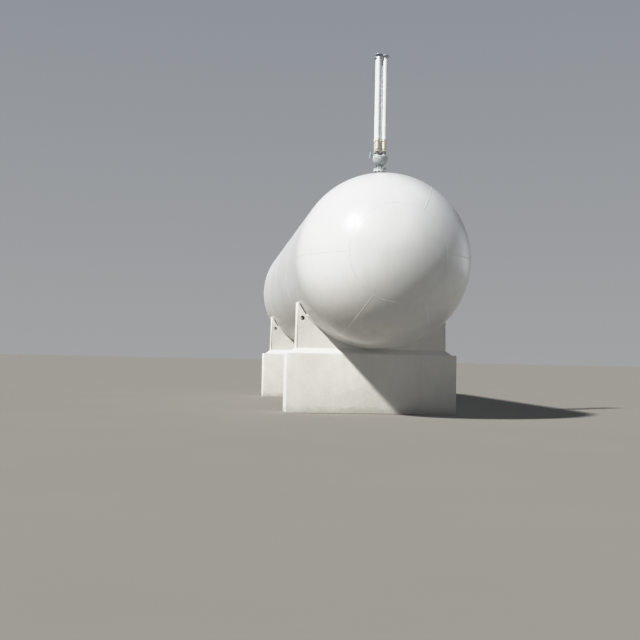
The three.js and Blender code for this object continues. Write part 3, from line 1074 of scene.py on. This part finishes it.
# Handwheel, along its stem
WHEEL_HEIGHT = 0.508
WHEEL_REACH = 0.220
WHEEL_RADIUS = 0.068
RIM_HALF_GAUGE = 0.0075
RIM_HALF_WIDTH = 0.0100
RIM_STEPS = 16
SPOKE_COUNT = 4
SPOKE_WIDTH = 0.010
SPOKE_THICKNESS = 0.008
HUB = (0.018, -0.012, 0.010)
HUB_EASE = 0.002
BOSS_RADIUS = 0.024
BOSS_START = 0.020
BOSS_FACE = 0.184
STEM_RADIUS = 0.0105
STEM_END = 0.0165
STEM_NUT_ACROSS = 0.026
STEM_NUT_HEIGHT = 0.014
WHEEL_NUT = (0.024, 0.010, 0.016)
SMALL_NUT_CHAMFER = 0.002

# Relief valves: the foot stands on the hexagon's underside, and the head hangs from the top
VALVE_NIPPLE = 0.056
NIPPLE_RADIUS = 0.034
NIPPLE_END = 0.062
VALVE_HEXAGON = 0.058
THREAD_COUNT = 10
THREAD_START = 0.002
THREAD_PITCH = 0.005
THREAD_ROOT = 0.0335
THREAD_CREST = 0.036
THREAD_EASE = 0.0008
VALVE_RADIUS = 0.055
VALVE_FOOT = (
    *((0.0, 0.0), (0.040, 0.0), (0.040, 0.036), (0.047, 0.042), (0.047, 0.050)),
    (VALVE_RADIUS, 0.062),
)
VALVE_HEAD = (
    (VALVE_RADIUS, -0.070),
    *((0.047, -0.058), (0.047, -0.050), (0.058, -0.040), (0.058, -0.002), (0.056, 0.0)),
)
VALVE_OUTLET_DEPTH = 0.060
VALVE_EASE = 0.0018
VALVE_GROOVES = (0.086, 0.098, 0.152, 0.164)
GROOVE_DEPTH = 0.0022
GROOVE_HALF_WIDTH = 0.003
WRENCH_HEXAGON = (0.108, 0.036, 0.005)
PLUG_LEVEL = 0.125
PLUG = (0.011, 0.040, 0.056)
PLUG_HEAD = (0.018, 0.0555, 0.0615, 0.0015)

# Vent stacks
PIPE_RADIUS = 0.051
PIPE_BORE = 0.046
PIPE_LIP = 0.002
COLLAR = ((0.055, 0.0), (0.058, 0.004), (0.058, 0.040), (0.055, 0.045))
COLLAR_WELD = ((0.0535, 0.046), (0.0535, 0.051), (PIPE_RADIUS, 0.055))

# Rain caps: the lip is in steps out and up from the edge of the eave
CAP_RADIUS = 0.088
CAP_RISE = 0.026
CAP_GAUGE = 0.003
CAP_LIP = ((-0.005, -CAP_GAUGE), (-0.002, -0.009), (0.0, -0.009), (0.0, 0.001))
CAP_TIP_RADIUS = 0.010
CAP_TIP_FALL = 0.001
CAP_EASE = 0.0012
STRAP_COUNT = 3
STRAP_HALF_GAUGE = 0.002
STRAP_HALF_WIDTH = 0.007
STRAP_DROP = 0.050
STRAP_TAB_REACH = 0.014
STRAP_TAB_FALL = 0.006
STRAP_TAB_GAUGE = 0.004
STRAP_BOLT_DROP = 0.030
STRAP_BOLT = (0.012, 0.005, 0.0012)


def on_crown(height=0.0, turn=0.0):
    """A place over the nozzle, at a height above the crown line."""
    return standing(CLUSTER, CROWN + height, turn)


def on_shell(x, y, height):
    """A point over the nozzle's centre that lies on the shell, or a height above it."""
    radius = RADIUS + height
    return Vector((CLUSTER.x + x, CLUSTER.y + y, AXIS_Z + math.sqrt(radius**2 - x**2)))


def round_weld(radius, count, lean, place):
    """A weld round the nozzle at place(x, y), facing outwards and up (lean 1) or down (lean -1)."""
    points = [place(*round_point(radius, turn)) for turn in turns(count)]
    directions = [Vector((*round_point(1.0, turn), lean)).normalized() for turn in turns(count)]
    return points, directions, True


def make_nozzle():
    pad_low, pad_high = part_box("relief_nozzle_pad")
    pad_radius = (pad_high.y - pad_low.y) / 2
    section = tube(NECK_RADIUS + FIT_GAP, pad_radius, FIT_GAP, PAD_THICKNESS)
    flat, faces = turned(eased(section, SMALL_EASE), ROUND_PAD)
    pad = [on_shell(*vertex) for vertex in flat], faces
    pipe = turned(tube(NECK_BORE, NECK_RADIUS, NECK_FOOT, NECK_TOP), ROUND_NECK)
    face = FLANGE_TOP - RAISED_FACE
    profile = tube(NECK_BORE, FLANGE_RADIUS, NECK_TOP, face)[:-1]
    profile += tube(NECK_BORE, RAISED_FACE_RADIUS, face, FLANGE_TOP)[1:]
    ring = turned(eased(profile, SMALL_EASE), ROUND_FLANGE)
    solids = {
        "pad": ("plate", pad, None),
        "neck": ("pipe", pipe, on_crown()),
        "flange": ("ring", ring, on_crown()),
    }
    for part, (form, solid, place) in solids.items():
        node = f"relief_nozzle_{part}"
        fit_solid(solid, place, f"{node}_{form}", ENAMEL, "vessel_paint", node)

    inside, outside = NECK_BORE + GASKET_INSIDE, RAISED_FACE_RADIUS + GASKET_OUTSIDE
    washer = turned(tube(inside, outside, face, FLANGE_TOP + RAISED_FACE), ROUND_NECK)
    fit_solid(washer, on_crown(), "relief_flange_gasket", GASKET, "cast_paint")

    def under_flange(x, y):
        return on_crown(NECK_TOP) @ Vector((x, y, 0.0))

    lines = [
        round_weld(pad_radius, PAD_WELD_POINTS, 1.0, lambda x, y: on_shell(x, y, PAD_WELD_HEIGHT)),
        round_weld(NECK_RADIUS, NECK_WELD_POINTS, 1.0, lambda x, y: on_shell(x, y, PAD_THICKNESS)),
        round_weld(NECK_RADIUS, NECK_WELD_POINTS, -1.0, under_flange),
    ]
    lay_beads("relief_nozzle_welds", "vessel_paint", lines, NOZZLE_BEAD)

    low = NECK_TOP - NUT_HEIGHT
    high = FLANGE_TOP + FIT_GAP + FLANGE_THICKNESS
    across = NUT_ACROSS / math.cos(math.pi / 6)
    stud = Shape()
    bolt = rod(BOLT_RADIUS, low - BOLT_REACH, high + NUT_HEIGHT + BOLT_REACH)
    stud.add(turned(eased(bolt, FINE_EASE, steps=2), ROUND_BOLT))
    for level in (low, high):
        stud.add(chamfered_hexagon(across, level, level + NUT_HEIGHT, NUT_CHAMFER))
    studs = copied_round(
        "relief_flange_studs", stud, FASTENER, BOLT_COUNT, BOLT_CIRCLE, NUT_LOOSE_TURN, seed=5
    )
    studs.data.transform(on_crown(0.0, CLUSTER_TURN + math.pi / BOLT_COUNT))
    fit(studs, "cast_paint")


def manifold_profile(foot, flange_top):
    """Flange, neck, bowl and lid of the casting."""
    profile = rod(RAISED_FACE_RADIUS, foot, foot + RAISED_FACE)[:-1]
    profile += [(FLANGE_RADIUS, foot + RAISED_FACE), (FLANGE_RADIUS, flange_top)]
    profile += [(BOWL_NECK + out, flange_top + up) for out, up in NECK_FLARE]
    for share in shares(BOWL_STEPS):
        turn = QUARTER_TURN * share
        radius = BOWL_NECK + (BOWL_RADIUS - BOWL_NECK) * math.sin(turn)
        profile.append((radius, BOWL_RIM - (BOWL_RIM - BOWL_BOTTOM) * math.cos(turn)))
    profile += [(BOWL_RADIUS + out, BOWL_RIM + up) for out, up in BOWL_LIP]
    return [*profile, (BOWL_TOP_RADIUS, BOWL_TOP), (0.0, BOWL_TOP)]


def make_manifold():
    foot = FLANGE_TOP + FIT_GAP
    flange_top = foot + FLANGE_THICKNESS
    casting = Shape()
    casting.add(turned(manifold_profile(foot, flange_top), ROUND_FLANGE), on_crown())
    port = turned(rod(PORT_RADIUS, BOWL_RIM, PORT_TOP), ROUND_PORT)
    for index in range(STACK_COUNT):
        casting.add(port, standing(middle(f"vent_stack_{index + 1}"), CROWN))
    bonnet = eased(rod(BONNET_RADIUS, BOWL_RIM, BONNET_TOP), BONNET_EASE)
    casting.add(turned(bonnet, ROUND_BONNET), on_crown())
    boss = turned(rod(BOSS_RADIUS, BOSS_START, BOSS_FACE), ROUND_BOSS)
    casting.add(boss, lying(on_crown(WHEEL_HEIGHT, CLUSTER_TURN)))
    rib_height = BOWL_RIM - flange_top - RIB_CLEARANCE
    vertices, faces = slab(RIB_LENGTH, RIB_THICKNESS, rib_height)
    slope = (1 - RIB_FOOT_SHARE) / rib_height
    leaned = [Vector((v.x * (RIB_FOOT_SHARE + slope * v.z), v.y, v.z)) for v in vertices]
    for turn in turns(RIB_COUNT):
        place = on_crown(flange_top, CLUSTER_TURN + math.pi / 4 + turn)
        casting.add((leaned, faces), place @ Matrix.Translation((RIB_SHIFT, 0.0, 0.0)))
    body = casting.piece("relief_manifold_casting", [CAST])
    modify(body, "REMESH", mode="VOXEL", voxel_size=CAST_VOXEL)
    modify(body, "SMOOTH", factor=0.5, iterations=4)
    settled_piece(body)
    body.data.materials.clear()
    body.data.materials.append(CAST)
    shade(body.data, SHARP_ON_CASTING)
    fit(body, "cast_paint", "relief_manifold")


def make_handwheel():
    rim_radius = WHEEL_RADIUS - RIM_HALF_GAUGE
    rim = []
    for turn in turns(RIM_STEPS):
        rim.append((rim_radius + RIM_HALF_GAUGE * math.cos(turn), RIM_HALF_WIDTH * math.sin(turn)))
    wheel = Shape()
    stem = lying(on_crown(WHEEL_HEIGHT, CLUSTER_TURN))
    place = stem @ Matrix.Translation((0.0, 0.0, WHEEL_REACH))
    wheel.add(turned(rim, ROUND_BODY), place)
    spoke = slab(rim_radius, SPOKE_WIDTH, SPOKE_THICKNESS, SMALL_EASE)
    out = Matrix.Translation((rim_radius / 2, 0.0, -SPOKE_THICKNESS / 2))
    for turn in turns(SPOKE_COUNT):
        wheel.add(spoke, place @ Matrix.Rotation(turn, 4, "Z") @ out)
    wheel.add(turned(eased(rod(*HUB), HUB_EASE), ROUND_BOSS), place)
    root = BOSS_FACE + FIT_GAP - WHEEL_REACH
    bar = eased(rod(STEM_RADIUS, root, STEM_END), FINE_EASE)
    wheel.add(turned(bar, ROUND_STEM), place, 1)
    for nut in ((STEM_NUT_ACROSS, root, root + STEM_NUT_HEIGHT), WHEEL_NUT):
        wheel.add(chamfered_hexagon(*nut, SMALL_NUT_CHAMFER), place, 1)
    node = "selector_handwheel"
    fit(wheel.piece(f"{node}_iron", [WHEEL, FASTENER]), "wheel_iron", node)


def make_valve(index):
    """A brass relief valve: threaded nipple, hexagon, ringed body, drain plug and outlet hub."""
    node = f"relief_valve_{index + 1}"
    low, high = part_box(node)
    centre = middle(node)
    height = high.z - low.z
    place = standing(centre, low.z, CLUSTER_TURN)
    nipple = [(0.0, 0.0)]
    for thread in range(THREAD_COUNT):
        level = THREAD_START + THREAD_PITCH * thread
        nipple += [(THREAD_ROOT, level), (THREAD_CREST, level + THREAD_PITCH / 2)]
    nipple += [(NIPPLE_RADIUS, VALVE_NIPPLE), (NIPPLE_RADIUS, NIPPLE_END), (0.0, NIPPLE_END)]
    body = raised(VALVE_FOOT, VALVE_HEXAGON)
    for ring in VALVE_GROOVES:
        for out, up in ((0.0, -GROOVE_HALF_WIDTH), (-GROOVE_DEPTH, 0.0), (0.0, GROOVE_HALF_WIDTH)):
            body.append((VALVE_RADIUS + out, VALVE_HEXAGON + ring + up))
    body += raised((*VALVE_HEAD, *rod(PIPE_BORE, 0.0, -VALVE_OUTLET_DEPTH)[1:]), height)
    valve = Shape()
    valve.add(turned(eased(nipple, THREAD_EASE, steps=2), ROUND_BODY), place, 2)
    valve.add(turned(eased(body, VALVE_EASE, steps=2), ROUND_BODY), place)
    across, rise, chamfer = WRENCH_HEXAGON
    valve.add(chamfered_hexagon(across, VALVE_HEXAGON, VALVE_HEXAGON + rise, chamfer), place)
    outwards = math.atan2(centre.y - CLUSTER.y, centre.x - CLUSTER.x)
    side = lying(standing(centre, low.z + VALVE_HEXAGON + PLUG_LEVEL, outwards + math.pi))
    valve.add(turned(eased(rod(*PLUG), FINE_EASE, steps=2), ROUND_STEM), side)
    valve.add(chamfered_hexagon(*PLUG_HEAD), side, 1)
    fit(valve.piece(f"{node}_body", [BRASS, FASTENER, THREAD]), "valve_brass", node)


def make_stack(index):
    """A vent pipe in a threaded collar over its valve."""
    node = f"vent_stack_{index + 1}"
    low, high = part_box(node)
    length = high.z - low.z
    profile = [
        (PIPE_BORE, 0.0),
        *COLLAR,
        *COLLAR_WELD,
        (PIPE_RADIUS, length - PIPE_LIP),
        (PIPE_RADIUS - PIPE_LIP, length),
        (PIPE_BORE, length),
    ]
    pipe = turned(eased(profile, FINE_EASE, steps=2), ROUND_BODY)
    fit_solid(pipe, standing(middle(node), low.z), f"{node}_pipe", STACK, "stack_paint", node)


def make_rain_cap(index):
    """A spun cone with a turned-down lip, on three bent straps bolted round the pipe."""
    node = f"rain_cap_{index + 1}"
    stack = f"vent_stack_{index + 1}"
    centre = middle(stack)
    pipe_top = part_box(stack)[1].z
    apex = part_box(node)[1].z - pipe_top
    eave = apex - CAP_RISE
    cone = [
        (0.0, apex - CAP_GAUGE),
        *((CAP_RADIUS + out, eave + up) for out, up in CAP_LIP),
        (CAP_TIP_RADIUS, apex - CAP_TIP_FALL),
        (0.0, apex),
    ]
    place = standing(centre, pipe_top, math.atan2(CLUSTER.y - centre.y, CLUSTER.x - centre.x))
    cap = Shape()
    cap.add(turned(eased(cone, CAP_EASE, steps=2), ROUND_BODY), place)
    gauge = STRAP_HALF_GAUGE
    circle = PIPE_RADIUS + FIT_GAP + gauge
    top = eave + CAP_RISE * (1 - circle / CAP_RADIUS) - CAP_GAUGE / 2
    side = [
        (-gauge, -STRAP_DROP),
        (gauge, -STRAP_DROP),
        (gauge, top - STRAP_TAB_FALL),
        (STRAP_TAB_REACH, top - STRAP_TAB_FALL - STRAP_TAB_GAUGE),
        (STRAP_TAB_REACH, top - STRAP_TAB_FALL),
        (-gauge, top),
    ]
    vertices, faces = prism(side, -STRAP_HALF_WIDTH, STRAP_HALF_WIDTH)
    strap = Shape()
    strap.add(([Vector((vertex.x, vertex.z, vertex.y)) for vertex in vertices], faces))
    head = lying(standing(Vector(), -STRAP_BOLT_DROP, math.pi))
    across, rise, chamfer = STRAP_BOLT
    strap.add(chamfered_hexagon(across, gauge, gauge + rise, chamfer), head)
    straps = copied_round(f"{node}_straps", strap, CAP_ZINC, STRAP_COUNT, circle)
    faces = [list(face.vertices) for face in straps.data.polygons]
    cap.add(([vertex.co for vertex in straps.data.vertices], faces), place)
    bpy.data.objects.remove(straps)
    fit(cap.piece(f"{node}_cone", [CAP_ZINC]), "cap_paint", node)


def make_relief_cluster():
    make_nozzle()
    make_manifold()
    make_handwheel()
    for index in range(STACK_COUNT):
        make_valve(index)
        make_stack(index)
        make_rain_cap(index)


# Studio


def make_camera():
    data = bpy.data.cameras.new("camera")
    data.sensor_width = SENSOR_WIDTH_MM
    data.lens = FOCAL_PIXELS / PICTURE_WIDTH * SENSOR_WIDTH_MM
    data.clip_end = 2 * FLOOR_HALF
    yaw = Matrix.Rotation(-LOOK_YAW, 4, "Z")
    pitch = Matrix.Rotation(QUARTER_TURN + LOOK_PITCH, 4, "X")
    roll = Matrix.Rotation(LOOK_ROLL, 4, "Z")
    camera = placed(data, "camera")
    camera.matrix_world = Matrix.Translation(EYE) @ yaw @ pitch @ roll
    bpy.context.scene.camera = camera


def develop():
    """Plain colours, with the darkest tones deepened and the brightest eased towards white."""
    settings = bpy.context.scene.view_settings
    settings.view_transform = "Standard"
    settings.use_curve_mapping = True
    mapping = settings.curve_mapping
    mapping.white_level = (WHITEST_LIGHT, WHITEST_LIGHT, WHITEST_LIGHT)
    curve = mapping.curves[3]
    curve.points[1].location = (1.0, WHITEST_TONE)
    for light, tone in TONES:
        curve.points.new(light / WHITEST_LIGHT, tone)
    mapping.update()


def make_sky():
    world = bpy.data.worlds.new("studio_sky")
    bpy.context.scene.world = world
    world.use_nodes = True
    tree = world.node_tree
    direction = add_node(tree, "ShaderNodeTexCoord")["Generated"]
    split = add_node(tree, "ShaderNodeSeparateXYZ", {0: direction})
    ramp = add_node(tree, "ShaderNodeValToRGB", {0: split["Z"]})[0]
    low, high = ramp.node.color_ramp.elements
    low.position, low.color = 0.0, SKY_LOW
    high.position, high.color = SKY_HIGH_FROM, SKY_HIGH
    strength = SKY_STRENGTH
    for axis, start, full, times in BRIGHT_SIDES:
        brighter = remapped(tree, split[axis], start, full, 1.0, times, smooth=True)
        strength = math_node(tree, "MULTIPLY", brighter, strength)
    seen = add_node(tree, "ShaderNodeLightPath")["Is Camera Ray"]
    sockets = {0: seen, 2: strength, 3: BACKDROP_STRENGTH}
    shown = add_node(tree, "ShaderNodeMix", sockets, data_type="FLOAT")
    background = tree.nodes["Background"]
    tree.links.new(ramp, background.inputs["Color"])
    tree.links.new(shown[0], background.inputs["Strength"])


def make_studio():
    mesh = bpy.data.meshes.new("studio_floor")
    corners = box_corners(FLOOR_HALF, FLOOR_HALF)
    mesh.from_pydata([(x, y, 0.0) for x, y in corners], [], [(0, 1, 2, 3)])
    mesh.materials.append(floor_finish())
    placed(mesh, "studio_floor")

    sun = bpy.data.lights.new("key", "SUN")
    sun.energy = SUN_STRENGTH
    sun.angle = SUN_SPREAD
    sun.color = SUN_COLOUR
    placed(sun, "key").rotation_euler = TOWARDS_SUN.to_track_quat("Z", "Y").to_euler()
    make_sky()


make_camera()
develop()
make_studio()
make_vessel()
make_saddles()
make_relief_cluster()
